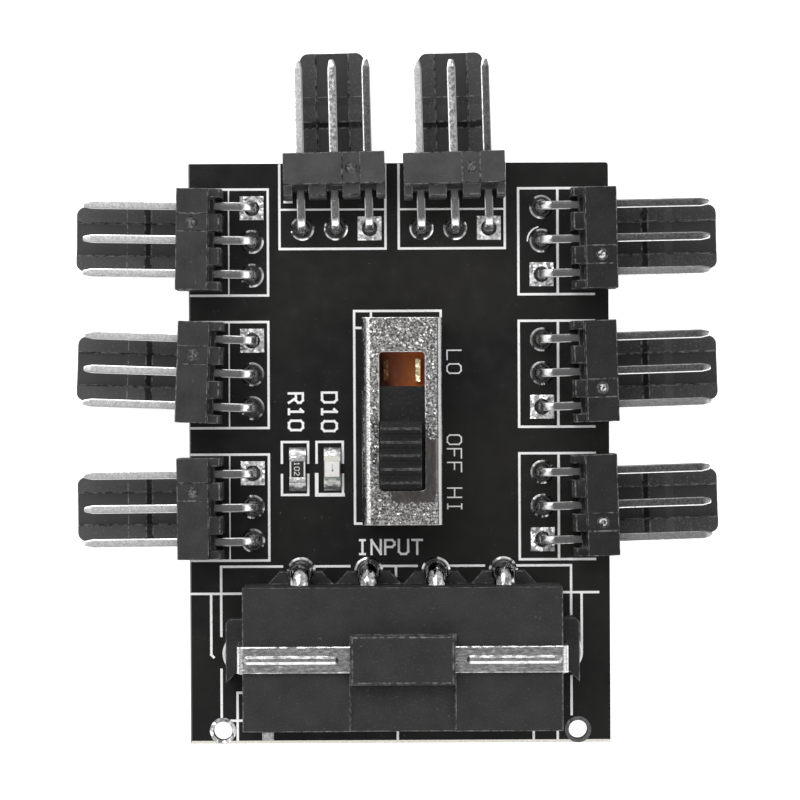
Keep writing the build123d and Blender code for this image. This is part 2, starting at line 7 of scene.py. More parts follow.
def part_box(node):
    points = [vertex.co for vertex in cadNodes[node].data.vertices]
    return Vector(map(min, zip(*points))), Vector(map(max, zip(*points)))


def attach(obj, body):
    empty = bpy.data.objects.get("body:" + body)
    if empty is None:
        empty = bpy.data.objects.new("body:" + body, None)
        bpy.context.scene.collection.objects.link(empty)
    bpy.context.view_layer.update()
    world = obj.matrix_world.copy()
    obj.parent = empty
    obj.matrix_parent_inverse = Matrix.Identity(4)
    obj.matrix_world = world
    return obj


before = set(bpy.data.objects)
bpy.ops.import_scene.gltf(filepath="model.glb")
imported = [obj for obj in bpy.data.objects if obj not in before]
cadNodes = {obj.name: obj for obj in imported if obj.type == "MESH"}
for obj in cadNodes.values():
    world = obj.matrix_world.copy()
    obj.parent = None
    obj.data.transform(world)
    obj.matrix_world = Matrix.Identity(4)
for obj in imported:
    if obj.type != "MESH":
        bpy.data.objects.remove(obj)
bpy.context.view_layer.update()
mm = 0.001
hubBody = "hub"
headerNumbers = range(1, 9)
headerSides = ["left"] * 3 + ["rear"] * 2 + ["right"] * 3
headerPins = range(1, 4)
powerPins = range(1, 5)

boardLow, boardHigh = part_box("circuit_board")
boardTop = boardHigh.z
boardMiddle = Vector(((boardLow.x + boardHigh.x) / 2, (boardLow.y + boardHigh.y) / 2, boardTop))
switchLow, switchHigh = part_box("switch_frame")
switchMiddle = (switchLow + switchHigh) / 2
print("frame loaded:", len(cadNodes), "pieces")


# Where a header's middle pin stands on the board, and the way it points: from its tail's end to its tip
def headerSpot(number):
    pin = cadNodes[f"fan_header_{number}_pin_2"]
    points = [pin.matrix_world @ vertex.co for vertex in pin.data.vertices]
    near = 0.05 * mm
    lowest = min(point.z for point in points)
    tailEnd = [point.xy for point in points if point.z < lowest + near]
    spot = sum(tailEnd, Vector((0, 0))) / len(tailEnd)
    reach = max((point.xy - spot).length for point in points)
    tipEnd = [point.xy for point in points if (point.xy - spot).length > reach - near]
    tip = sum(tipEnd, Vector((0, 0))) / len(tipEnd)
    return spot, (tip - spot).normalized()


def headerSide(number):
    return headerSides[number - 1]


# The middle of a piece seen from above, at the height of its top
def topOf(name):
    low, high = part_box(name)
    return Vector(((low.x + high.x) / 2, (low.y + high.y) / 2, high.z))


# Shader helpers. Patterns are laid out in millimetres on Object coordinates.
def newMaterial(name, look):
    material = bpy.data.materials.new(name)
    material.use_nodes = True
    shader = material.node_tree.nodes["Principled BSDF"]
    for socket, value in look.items():
        shader.inputs[socket].default_value = value
    return material, material.node_tree, shader


def addNode(tree, kind, inputs, **settings):
    node = tree.nodes.new(kind)
    for name, value in settings.items():
        setattr(node, name, value)
    for socket, value in inputs.items():
        if isinstance(value, bpy.types.NodeSocket):
            tree.links.new(value, node.inputs[socket])
        else:
            node.inputs[socket].default_value = value
    return node


def places(tree, stretch=(1, 1, 1), middle=(0, 0, 0), turn=0.0):
    coordinates = addNode(tree, "ShaderNodeTexCoord", {}).outputs["Object"]
    scale = Vector([share / mm for share in stretch])
    shift = Matrix.Rotation(turn, 3, "Z") @ (Vector(middle) * scale)
    inputs = {"Vector": coordinates, "Scale": scale, "Rotation": (0, 0, turn), "Location": -shift}
    return addNode(tree, "ShaderNodeMapping", inputs).outputs["Vector"]


def noise(tree, where, scale, detail, roughness=0.55):
    inputs = {"Vector": where, "Scale": scale, "Detail": detail, "Roughness": roughness}
    return addNode(tree, "ShaderNodeTexNoise", inputs).outputs["Fac"]


def cells(tree, where, scale):
    return addNode(tree, "ShaderNodeTexVoronoi", {"Vector": where, "Scale": scale}).outputs["Color"]


def remap(tree, value, low, high, first=0.0, last=1.0):
    inputs = {"Value": value, "From Min": low, "From Max": high, "To Min": first, "To Max": last}
    return addNode(tree, "ShaderNodeMapRange", inputs).outputs["Result"]


# A pattern is written as noise scale, detail, roughness, and the two noise levels that give first and last
def pattern(tree, where, look, first=0.0, last=1.0):
    scale, detail, roughness, low, high = look
    return remap(tree, noise(tree, where, scale, detail, roughness), low, high, first, last)


def reckon(tree, operation, first, second):
    node = addNode(tree, "ShaderNodeMath", {0: first, 1: second}, operation=operation)
    return node.outputs[0]


def product(tree, first, second):
    return reckon(tree, "MULTIPLY", first, second)


def opposite(tree, value):
    return reckon(tree, "SUBTRACT", 1.0, value)


def absolute(tree, value):
    return addNode(tree, "ShaderNodeMath", {0: value}, operation="ABSOLUTE").outputs[0]


def vectors(tree, operation, first, second):
    node = addNode(tree, "ShaderNodeVectorMath", {0: first, 1: second}, operation=operation)
    return node.outputs[0]


def lengthOf(tree, vector):
    return addNode(tree, "ShaderNodeVectorMath", {0: vector}, operation="LENGTH").outputs["Value"]


def mixColours(tree, share, first, second):
    node = addNode(tree, "ShaderNodeMix", {0: share, 6: first, 7: second}, data_type="RGBA")
    return node.outputs[2]


def part(tree, vector, axis):
    return addNode(tree, "ShaderNodeSeparateXYZ", {"Vector": vector}).outputs[axis]


def paint(tree, shader, colour):
    tree.links.new(colour, shader.inputs["Base Color"])


# A bump is written as noise scale, detail, and depth in millimetres
def roughen(tree, shader, where, look):
    scale, detail, depth = look
    inputs = {"Height": noise(tree, where, scale, detail), "Distance": depth * mm, "Strength": 1.0}
    bump = addNode(tree, "ShaderNodeBump", inputs)
    tree.links.new(bump.outputs["Normal"], shader.inputs["Normal"])


# Past gives 1 beyond a limit and upTo gives 1 below it, each with a soft step just before the limit
def past(tree, value, limit, soft):
    return remap(tree, value, limit - soft, limit)


def upTo(tree, value, limit, soft):
    return remap(tree, value, limit - soft, limit, 1.0, 0.0)


# Gives 1 for values between low and high, with soft ends
def between(tree, value, low, high, soft=0.04):
    rise = remap(tree, value, low - soft, low + soft)
    return product(tree, rise, remap(tree, value, high - soft, high + soft, 1.0, 0.0))


# Small facets that each lean their own way, for grainy plating. Keep flattens a bend's slope, tip adds one
def leanFacets(tree, shader, where, scale, lean, keep=(1, 1, 1), tip=(0, 0, 0)):
    tilt = vectors(tree, "SUBTRACT", cells(tree, where, scale), (0.5, 0.5, 0.5))
    tilt = addNode(tree, "ShaderNodeVectorMath", {0: tilt, "Scale": lean}, operation="SCALE").outputs[0]
    normal = addNode(tree, "ShaderNodeNewGeometry", {}).outputs["Normal"]
    normal = vectors(tree, "ADD", vectors(tree, "MULTIPLY", normal, keep), vectors(tree, "ADD", tilt, tip))
    normal = addNode(tree, "ShaderNodeVectorMath", {0: normal}, operation="NORMALIZE").outputs[0]
    tree.links.new(normal, shader.inputs["Normal"])


def facing(tree, axis):
    return part(tree, addNode(tree, "ShaderNodeNewGeometry", {}).outputs["Normal"], axis)


def grey(value):
    return (value, value, value, 1.0)


# Solder mask on both faces, bare glass cloth where the panel was snapped off
boardLook = {
    "mask": grey(0.0115), "maskPale": (0.0180, 0.0175, 0.0165, 1), "cloud": (0.09, 2.0, 0.55, 0.35, 0.65),
    "dust": grey(0.08), "speck": (3.2, 2.0, 0.55, 0.735, 0.78), "bump": (2.2, 3.0, 0.006),
    "glass": (0.88, 0.85, 0.80, 1), "glassDark": (0.64, 0.60, 0.52, 1), "side": (0.14, 0.135, 0.12, 1),
    "fibreStretch": (6, 6, 1.2), "fibre": (1.4, 4.0, 0.55, 0.35, 0.7),
    "frontTurn": (-0.85, -0.4), "flatTurn": (0.93, 0.97),
    "gloss": (0.8, 4.0, 0.55, 0.3, 0.7), "rough": (0.18, 0.28), "edgeRough": 0.9,
}


def makeBoardMask():
    look = boardLook
    material, tree, shader = newMaterial("boardMask", {"Specular IOR Level": 0.3})
    where = places(tree)
    mask = mixColours(tree, pattern(tree, where, look["cloud"]), look["mask"], look["maskPale"])
    mask = mixColours(tree, pattern(tree, where, look["speck"]), mask, look["dust"])
    fibre = pattern(tree, places(tree, look["fibreStretch"]), look["fibre"])
    edge = mixColours(tree, fibre, look["glassDark"], look["glass"])
    front = remap(tree, facing(tree, "Y"), *look["frontTurn"], 1.0, 0.0)
    edge = mixColours(tree, front, look["side"], edge)
    flat = remap(tree, absolute(tree, facing(tree, "Z")), *look["flatTurn"])
    paint(tree, shader, mixColours(tree, flat, edge, mask))
    rough = pattern(tree, where, look["gloss"], *look["rough"])
    rough = reckon(tree, "MAXIMUM", rough, remap(tree, flat, 0.0, 1.0, look["edgeRough"], 0.0))
    tree.links.new(rough, shader.inputs["Roughness"])
    roughen(tree, shader, where, look["bump"])
    return material


# Moulded nylon. Scuffs run across the axis that has the largest scuff number
plasticLook = {
    "power": {"dark": grey(0.022), "pale": grey(0.031), "rough": (0.5, 0.66), "scuff": (1, 1.6, 1)},
    "slider": {"dark": grey(0.0115), "pale": grey(0.019), "rough": (0.4, 0.58), "scuff": (0.6, 4, 1)},
    "cloud": (0.5, 3.0, 0.55, 0.3, 0.7), "gloss": (3.0, 4.0, 0.55, 0.3, 0.7), "bump": (14.0, 2.0, 0.008),
    "grit": (9.0, 2.0, 0.55, 0.6, 0.75), "gritShare": 0.35, "gritTone": grey(0.13),
    "scratch": (1.3, 6.0, 0.7, 0.665, 0.70), "scratchShare": 0.4, "scratchTone": grey(0.16),
}


def makePlastic(name):
    look = plasticLook
    own = look[name]
    material, tree, shader = newMaterial(name + "Plastic", {"Specular IOR Level": 0.12})
    where = places(tree)
    body = mixColours(tree, pattern(tree, where, look["cloud"]), own["dark"], own["pale"])
    grit = product(tree, pattern(tree, where, look["grit"]), look["gritShare"])
    body = mixColours(tree, grit, body, look["gritTone"])
    scratch = pattern(tree, places(tree, own["scuff"]), look["scratch"])
    body = mixColours(tree, product(tree, scratch, look["scratchShare"]), body, look["scratchTone"])
    paint(tree, shader, body)
    tree.links.new(pattern(tree, where, look["gloss"], *own["rough"]), shader.inputs["Roughness"])
    roughen(tree, shader, where, look["bump"])
    return material


# The nylon's edges carry a pale broken line, partly worn flash and partly a painted highlight where the edges
# catch the light; on the slider only near its top, so the edges down in its grooves get none
edgeLook = {
    "tones": {"header": grey(0.20), "power": grey(0.17), "slider": grey(0.10)}, "dark": grey(0.015),
    "broken": (2.4, 5.0, 0.7, 0.42, 0.66), "soft": 0.05, "bump": (8.0, 3.0, 0.01), "sliderDepth": 0.2 * mm,
}


def makePlasticEdge(name, lowest=0.0):
    look = edgeLook
    material, tree, shader = newMaterial(name + "Edge", {"Specular IOR Level": 0.2, "Roughness": 0.5})
    where = places(tree)
    raised = past(tree, part(tree, where, "Z"), lowest / mm, look["soft"])
    broken = product(tree, pattern(tree, where, look["broken"]), raised)
    paint(tree, shader, mixColours(tree, broken, look["dark"], look["tones"][name]))
    roughen(tree, shader, where, look["bump"])
    return material


# Header nylon, laid out from each header's middle pin: X along its row, Y outwards, Z up from the board.
# The tongue's rails are grained, its channel smooth, and the ejector mark on the block's top has a ring. The
# tones by side are painted light and shade, and so are the ramp, the step, a thin edge line and glints on the
# mark.
headerLook = {
    # Lit and shaded copies of one nylon: the tones and tongues by side are painted light and shade
    "tones": {"left": 0.034, "rear": 0.053, "right": 0.0165},
    "tongues": {"left": 0.061, "rear": 0.048, "right": 0.038},
    "lines": {"left": 9.3, "rear": 9.83, "right": 7.95},
    # The ramp band is painted lighter or darker by side, and the band at the step is painted dark as its
    # shadow
    "rampShading": {"left": 1.0, "rear": 0.8, "right": 1.3},
    "glintShares": {"left": 0.15, "rear": 0.12, "right": 0.8},
    "channel": 0.8, "rail": 1.1, "channelHalf": 1.225, "tongueFrom": 5.52, "tongueTop": 2.0,
    "rampAt": (9.2, 9.83), "step": 0.5, "stepAt": (7.53, 7.98), "blockTop": 5.75, "soft": 0.05, "sharp": 0.02,
    "markAt": (1.27, 4.335, 0), "ringAt": (0.31, 0.43), "ringTone": 0.45,
    "discRadius": 0.32, "discSoft": 0.06, "apart": 31.0,
    "cloud": (0.55, 4.0, 0.6, 0.3, 0.7), "cloudTones": (0.75, 1.22),
    "grain": (7.0, 3.0, 0.65, 0.56, 0.72), "grainShares": (0.15, 0.7), "grit": grey(0.15),
    "broken": (4.0, 3.0, 0.55, 0.4, 0.6), "lineWidth": 0.06, "line": grey(0.22),
    "scuff": (0.5, 3, 1), "scratch": (1.3, 6.0, 0.7, 0.665, 0.70), "scratchShare": 0.4,
    "scratchTone": grey(0.20), "glintPattern": (5.0, 2.0, 0.55, 0.45, 0.6), "glint": grey(0.75),
    "gloss": (3.0, 4.0, 0.55, 0.3, 0.7), "rough": (0.42, 0.6), "bump": (14.0, 2.0, 0.008),
}


def makeHeaderPlastic(number):
    look = headerLook
    side = headerSide(number)
    spot, outward = headerSpot(number)
    material, tree, shader = newMaterial(f"headerPlastic{number}", {"Specular IOR Level": 0.12})
    turn = -outward.angle_signed(Vector((0, 1)))
    where = places(tree, middle=(spot.x, spot.y, boardTop), turn=turn)
    across = absolute(tree, part(tree, where, "X"))
    outwards = part(tree, where, "Y")
    height = part(tree, where, "Z")
    shifted = vectors(tree, "ADD", where, (look["apart"] * number, 0, 0))
    onTongue = product(tree, past(tree, outwards, look["tongueFrom"], look["sharp"]),
                       upTo(tree, height, look["tongueTop"], look["soft"]))
    inChannel = upTo(tree, across, look["channelHalf"], look["soft"])
    tongueTone = remap(tree, inChannel, 0.0, 1.0, look["rail"], look["channel"])
    # Painted light and shade: the ramp band by side, and a dark painted shadow in the band at the step
    for stretch, tone in ((look["rampAt"], look["rampShading"][side]), (look["stepAt"], look["step"])):
        band = between(tree, outwards, *stretch)
        tongueTone = product(tree, tongueTone, remap(tree, band, 0.0, 1.0, 1.0, tone))
    # The tongue's tone by side is painted light and shade
    tongueTone = product(tree, tongueTone, look["tongues"][side])
    fromMark = vectors(tree, "SUBTRACT", where, look["markAt"])
    fromMark = lengthOf(tree, vectors(tree, "MULTIPLY", fromMark, (1, 1, 0)))
    onTop = past(tree, height, look["blockTop"], look["soft"])
    ring = product(tree, onTop, between(tree, fromMark, *look["ringAt"]))
    disc = product(tree, onTop, upTo(tree, fromMark, look["discRadius"], look["discSoft"]))
    blockTone = pattern(tree, shifted, look["cloud"], *look["cloudTones"])
    blockTone = product(tree, blockTone, remap(tree, ring, 0.0, 1.0, 1.0, look["ringTone"]))
    # The block's tone by side is painted light and shade
    blockTone = product(tree, blockTone, look["tones"][side])
    level = addNode(tree, "ShaderNodeMix", {0: onTongue, 2: blockTone, 3: tongueTone}).outputs[0]
    body = addNode(tree, "ShaderNodeCombineColor", {0: level, 1: level, 2: level}).outputs[0]
    rails = product(tree, onTongue, opposite(tree, inChannel))
    grain = pattern(tree, shifted, look["grain"])
    grain = product(tree, grain, remap(tree, rails, 0.0, 1.0, *look["grainShares"]))
    body = mixColours(tree, grain, body, look["grit"])
    # A thin painted highlight along an edge of the tongue, broken by noise, at a place that differs by side
    lineFrom = look["lines"][side]
    line = between(tree, outwards, lineFrom, lineFrom + look["lineWidth"], look["sharp"])
    line = product(tree, line, pattern(tree, shifted, look["broken"]))
    body = mixColours(tree, product(tree, line, onTongue), body, look["line"])
    scratch = pattern(tree, vectors(tree, "MULTIPLY", shifted, look["scuff"]), look["scratch"])
    body = mixColours(tree, product(tree, scratch, look["scratchShare"]), body, look["scratchTone"])
    # Painted glints on the ejector mark, of a strength set by side
    glint = product(tree, disc, pattern(tree, shifted, look["glintPattern"]))
    body = mixColours(tree, product(tree, glint, look["glintShares"][side]), body, look["glint"])
    paint(tree, shader, body)
    tree.links.new(pattern(tree, shifted, look["gloss"], *look["rough"]), shader.inputs["Roughness"])
    roughen(tree, shader, shifted, look["bump"])
    return material


# Plated metals: colour range, roughness range, grain per millimetre, and facets that lean
metalLook = {
    "tailTin": {"dark": grey(0.20), "pale": grey(0.74), "rough": (0.06, 0.16),
                "grain": 2.2, "facet": 2.6, "lean": 0.2},
    # The switch's brass in two copies: one with painted light, one in painted shade
    "contactLit": {"dark": (0.72, 0.58, 0.30, 1), "pale": (1.0, 0.90, 0.66, 1), "rough": (0.25, 0.4),
                      "grain": 4.0, "facet": 6.0, "lean": 0.3},
    "contactShaded": {"dark": (0.07, 0.030, 0.014, 1), "pale": (0.22, 0.11, 0.055, 1), "rough": (0.25, 0.4),
                    "grain": 4.0, "facet": 6.0, "lean": 0.3},
    "edgeTin": {"dark": grey(0.35), "pale": grey(0.92), "rough": (0.25, 0.35),
                "grain": 4.0, "facet": 6.0, "lean": 0.15, "keep": (0.45, 0.45, 1)},
    "capTin": {"dark": grey(0.42), "pale": grey(0.76), "rough": (0.3, 0.45),
               "grain": 5.0, "facet": 8.0, "lean": 0.3},
    "chipTin": {"dark": grey(0.50), "pale": grey(0.95), "rough": (0.3, 0.45),
                "grain": 3.0, "facet": 4.0, "lean": 0.4},
    "padTin": {"dark": grey(0.36), "pale": grey(0.90), "rough": (0.25, 0.4),
               "grain": 3.5, "facet": 5.0, "lean": 0.5},
    "dullTin": {"dark": grey(0.11), "pale": grey(0.22), "rough": (0.35, 0.5),
                "grain": 4.0, "facet": 6.0, "lean": 0.3},
}
grainPattern = (4.0, 0.65, 0.38, 0.66)
glossPattern = (3.0, 0.55, 0.3, 0.7)
glossCoarser = 3  # times the grain


def makeMetal(name):
    look = metalLook[name]
    material, tree, shader = newMaterial(name, {"Metallic": 1.0})
    where = places(tree)
    share = pattern(tree, where, (look["grain"], *grainPattern))
    paint(tree, shader, mixColours(tree, share, look["dark"], look["pale"]))
    rough = pattern(tree, where, (look["grain"] / glossCoarser, *glossPattern), *look["rough"])
    tree.links.new(rough, shader.inputs["Roughness"])
    leanFacets(tree, shader, where, look["facet"], look["lean"], look.get("keep", (1, 1, 1)))
    return material


# Header pins. Behind the blocks the flat of the tail is painted dark as a painted reflection of the dark
# block beside it, and the bend down to the board is painted bright as a painted highlight.
pinLook = {
    # Lit and shaded copies of one tin, as painted light and shade
    "shades": {
        "bright": {"dark": grey(0.38), "pale": grey(0.60), "rough": 0.45, "grain": 7.0, "lean": 0.05},
        "middle": {"dark": grey(0.26), "pale": grey(0.84), "rough": 0.30, "grain": 3.5, "lean": 0.10},
        "soft": {"dark": grey(0.30), "pale": grey(0.44), "rough": 0.32, "grain": 6.0, "lean": 0.05},
        "dim": {"dark": grey(0.15), "pale": grey(0.34), "rough": 0.25, "grain": 7.0, "lean": 0.05},
    },
    "share": (4.0, 0.65, 0.40, 0.64), "facet": 9.0, "flatTurn": (0.93, 0.985),
    "tail": grey(0.34), "tailRough": 0.25, "bend": grey(0.95),
    "tailSide": 14.2, "tailRear": 16.05, "tailSoft": 0.05,
}


# Gives 1 on the pins behind the header blocks
def onTails(tree, where):
    look = pinLook
    besides = absolute(tree, part(tree, where, "X"))
    behind = upTo(tree, part(tree, where, "Y"), look["tailRear"], look["tailSoft"])
    return product(tree, upTo(tree, besides, look["tailSide"], look["tailSoft"]), behind)


def makePinTin(name):
    look = pinLook
    own = look["shades"][name]
    material, tree, shader = newMaterial(f"pin_{name}", {"Metallic": 1.0})
    where = places(tree)
    tails = onTails(tree, where)
    share = pattern(tree, where, (own["grain"], *look["share"]))
    body = mixColours(tree, share, own["dark"], own["pale"])
    flat = remap(tree, facing(tree, "Z"), *look["flatTurn"])
    tail = mixColours(tree, flat, look["bend"], look["tail"])
    paint(tree, shader, mixColours(tree, tails, body, tail))
    rough = remap(tree, tails, 0.0, 1.0, own["rough"], look["tailRough"])
    tree.links.new(rough, shader.inputs["Roughness"])
    leanFacets(tree, shader, where, look["facet"], own["lean"])
    return material


# Each side's pins get a painted highlight on the long edge that faces the way given, and a dimmer painted one
# on the other. Behind the blocks the edges are painted in shade, and noise dulls them in patches.
pinEdgeLook = {
    "sides": {"left": ((0, 1, 0), grey(0.55)), "rear": ((-1, 0, 0), grey(0.30)),
              "right": ((0, -1, 0), grey(0.22))},
    "lit": grey(0.96), "turn": (-0.1, 0.1), "dull": grey(0.25), "tailShare": 0.7,
    "worn": (3.0, 3.0, 0.55, 0.62, 0.72), "wornShare": 0.6,
    "facet": 5.0, "lean": 0.08, "keep": (0.45, 0.45, 1),
}


def makePinEdge(side):
    look = pinEdgeLook
    lit, shade = look["sides"][side]
    material, tree, shader = newMaterial(f"pinEdge_{side}", {"Metallic": 1.0, "Roughness": 0.25})
    where = places(tree)
    normal = addNode(tree, "ShaderNodeNewGeometry", {}).outputs["Normal"]
    toLight = addNode(tree, "ShaderNodeVectorMath", {0: normal, 1: lit}, operation="DOT_PRODUCT")
    edge = mixColours(tree, remap(tree, toLight.outputs["Value"], *look["turn"]), shade, look["lit"])
    dull = product(tree, onTails(tree, where), look["tailShare"])
    dull = reckon(tree, "MAXIMUM", dull, pattern(tree, where, look["worn"], 0.0, look["wornShare"]))
    paint(tree, shader, mixColours(tree, dull, edge, look["dull"]))
    leanFacets(tree, shader, where, look["facet"], look["lean"], look["keep"])
    return material


# Strap on the power connector: painted highlights along both edges, and a rib whose front slope is painted
# lighter and rear slope darker, as painted light and shade
strapLook = {
    "dark": grey(0.36), "pale": grey(0.72), "stretch": (0.6, 1.6, 1), "share": (4.5, 4.0, 0.65, 0.38, 0.66),
    "broken": (2.5, 4.0, 0.7, 0.36, 0.50), "edge": 0.09, "soft": 0.03, "frontShares": (0.8, 0.3),
    "ribFrontLit": grey(0.60), "frontTurn": (-0.45, -0.25), "ribRearShaded": grey(0.32), "rearTurn": (0.25, 0.45),
    "ribRearDarker": grey(0.2), "rim": grey(0.8), "tip": 0.35, "facet": 5.0, "lean": 0.16, "keep": (1, 0.5, 1),
}


def makeStrapSteel():
    look = strapLook
    low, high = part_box("power_strap")
    inner = (high.y - low.y) / 2 / mm - look["edge"]
    material, tree, shader = newMaterial("strapSteel", {"Metallic": 1.0, "Roughness": 0.25})
    where = places(tree, look["stretch"], (low + high) / 2)
    body = mixColours(tree, pattern(tree, where, look["share"]), look["dark"], look["pale"])
    along = part(tree, places(tree, middle=(low + high) / 2), "Y")
    broken = pattern(tree, where, look["broken"])
    rear = product(tree, past(tree, along, inner + look["soft"], look["soft"]), broken)
    front = upTo(tree, along, -inner, look["soft"])
    front = product(tree, front, remap(tree, broken, 0.0, 1.0, *look["frontShares"]))
    onFront = remap(tree, facing(tree, "Y"), *look["frontTurn"], 1.0, 0.0)
    body = mixColours(tree, onFront, body, look["ribFrontLit"])
    # The rib's rear slope in painted shade, patchy between two dark tones
    worn = mixColours(tree, broken, look["ribRearDarker"], look["ribRearShaded"])
    body = mixColours(tree, remap(tree, facing(tree, "Y"), *look["rearTurn"]), body, worn)
    # Painted highlights along the edges, broken at the rear
    bright = reckon(tree, "MAXIMUM", rear, front)
    paint(tree, shader, mixColours(tree, bright, body, look["rim"]))
    tipY = product(tree, reckon(tree, "SUBTRACT", rear, front), look["tip"])
    tip = addNode(tree, "ShaderNodeCombineXYZ", {"Y": tipY}).outputs[0]
    leanFacets(tree, shader, where, look["facet"], look["lean"], look["keep"], tip)
    return material


# Solder: a painted highlight along the foot of each pad, and a darker tone over the rest. At the side
# headers' pads the painted highlight is weaker, the joints of the strap's legs are pale, and below the board
# the solder is paler.
solderLook = {
    "bright": grey(0.80), "dull": grey(0.30), "mottle": (1.0, 3.0, 0.55, 0.40, 0.56),
    "foot": 0.05, "footSoft": 0.01, "restTone": grey(0.24), "powerRestTone": grey(0.50), "powerRear": -11.5,
    "soft": 0.3, "bump": (1.7, 2.0, 0.008),
    "sideFrom": 9.3, "sideShare": 0.65, "legsRear": -14.7, "legTone": grey(0.75), "legShare": 0.8,
    "below": grey(0.72), "belowTop": -1.0, "belowSoft": 0.2,
}


def makeSolder():
    look = solderLook
    material, tree, shader = newMaterial("solder", {"Roughness": 0.14})
    where = places(tree)
    beside = past(tree, absolute(tree, part(tree, where, "X")), look["sideFrom"], look["soft"])
    along = part(tree, where, "Y")
    rearward = past(tree, along, look["legsRear"], look["soft"])
    shaded = product(tree, product(tree, beside, rearward), look["sideShare"])
    mottle = product(tree, pattern(tree, where, look["mottle"]), opposite(tree, shaded))
    rim = mixColours(tree, mottle, look["dull"], look["bright"])
    height = reckon(tree, "SUBTRACT", part(tree, where, "Z"), boardTop / mm)
    # The foot's bright ring is a painted highlight
    foot = between(tree, height, -look["foot"], look["foot"], look["footSoft"])
    atPower = upTo(tree, along, look["powerRear"], look["soft"])
    tone = mixColours(tree, foot, mixColours(tree, atPower, look["restTone"], look["powerRestTone"]), rim)
    below = upTo(tree, height, look["belowTop"], look["belowSoft"])
    tone = mixColours(tree, below, tone, look["below"])
    atLegs = product(tree, product(tree, beside, opposite(tree, rearward)), look["legShare"])
    atLegs = product(tree, atLegs, opposite(tree, below))
    paint(tree, shader, mixColours(tree, atLegs, tone, look["legTone"]))
    tree.links.new(opposite(tree, atLegs), shader.inputs["Metallic"])
    roughen(tree, shader, where, look["bump"])
    return material


# Blasted plating on the switch frame, with a painted highlight on the left fold and painted shade on the
# right fold, under the left fold and in a line at the right bend. Two patches by the window are smoother, and
# their streaked colour is a painted reflection.
frameLook = {
    "dark": (0.13, 0.128, 0.124, 1), "pale": (0.66, 0.645, 0.63, 1),
    "grain": 6.5, "share": (2.0, 0.55, 0.38, 0.62),
    "sheenPatch": (0.60, 0.56, 0.53, 1), "sheenPatchDark": (0.40, 0.375, 0.355, 1), "patchSoft": 0.1,
    "patches": ((1.45, 3.2, -5.3, -1.35), (-0.9, 2.6, -6.0, -5.2)),
    "wave": (1.6, 4.0, 0.6, 0.3, 0.7), "waveRange": (-0.3, 0.3),
    "streakStretch": (1.5, 0.5, 1), "streaks": (2.2, 4.0, 0.6, 0.35, 0.65),
    "fold": grey(0.90), "foldHighlightBroken": grey(0.45), "brokenTo": 0.6, "foldRightShade": grey(0.36), "under": grey(0.2),
    "creaseShade": grey(0.06), "foldLeft": (-0.48, -0.13, 0.05), "foldRight": (0.6, 0.97, 0.03), "underSoft": 0.1,
    "turnRight": (0.05, 0.52), "turnFlat": 0.75, "foldFlat": 0.55, "creaseShadeRight": (0.45, 0.57, 0.02),
    "rough": (0.25, 0.15), "lean": (0.28, 0.02), "foldSmooth": 0.8,
}


def makeFrameSteel():
    look = frameLook
    material, tree, shader = newMaterial("frameSteel", {"Metallic": 1.0})
    where = places(tree, middle=switchMiddle)
    share = pattern(tree, where, (look["grain"], *look["share"]))
    shade = mixColours(tree, share, look["dark"], look["pale"])
    wave = pattern(tree, where, look["wave"], *look["waveRange"])
    x = reckon(tree, "ADD", part(tree, where, "X"), wave)
    y = reckon(tree, "ADD", part(tree, where, "Y"), wave)
    sheenPatch = 0.0
    for left, right, front, rear in look["patches"]:
        patch = product(tree, between(tree, x, left, right, look["patchSoft"]),
                        between(tree, y, front, rear, look["patchSoft"]))
        sheenPatch = reckon(tree, "MAXIMUM", sheenPatch, patch)
    sideways = facing(tree, "X")
    foldLeft = between(tree, sideways, *look["foldLeft"])
    foldRight = between(tree, sideways, *look["foldRight"])
    under = upTo(tree, sideways, look["foldLeft"][0], look["underSoft"])
    # The smoother patches' streaked colour is a painted reflection
    streaks = pattern(tree, places(tree, look["streakStretch"]), look["streaks"])
    paintedReflection = mixColours(tree, streaks, look["sheenPatchDark"], look["sheenPatch"])
    shade = mixColours(tree, sheenPatch, shade, paintedReflection)
    # Painted highlight on the left fold, broken by the grain; painted shade on the right fold, under the left
    # fold and in a line at the right bend
    bend = mixColours(tree, remap(tree, share, 0.0, look["brokenTo"]), look["foldHighlightBroken"], look["fold"])
    shade = mixColours(tree, foldLeft, shade, bend)
    shade = mixColours(tree, foldRight, shade, look["foldRightShade"])
    shade = mixColours(tree, under, shade, look["under"])
    shade = mixColours(tree, between(tree, sideways, *look["creaseShadeRight"]), shade, look["creaseShade"])
    paint(tree, shader, shade)
    tree.links.new(remap(tree, sheenPatch, 0.0, 1.0, *look["rough"]), shader.inputs["Roughness"])
    fold = reckon(tree, "MAXIMUM", foldLeft, foldRight)
    smooth = reckon(tree, "MAXIMUM", sheenPatch, product(tree, fold, look["foldSmooth"]))
    lean = remap(tree, smooth, 0.0, 1.0, *look["lean"])
    turned = product(tree, between(tree, sideways, *look["turnRight"]), look["turnFlat"])
    turned = reckon(tree, "ADD", turned, product(tree, foldRight, look["foldFlat"]))
    keep = addNode(tree, "ShaderNodeCombineXYZ", {"X": opposite(tree, turned), "Y": 1.0, "Z": 1.0})
    leanFacets(tree, shader, where, look["grain"], lean, keep.outputs[0])
    return material


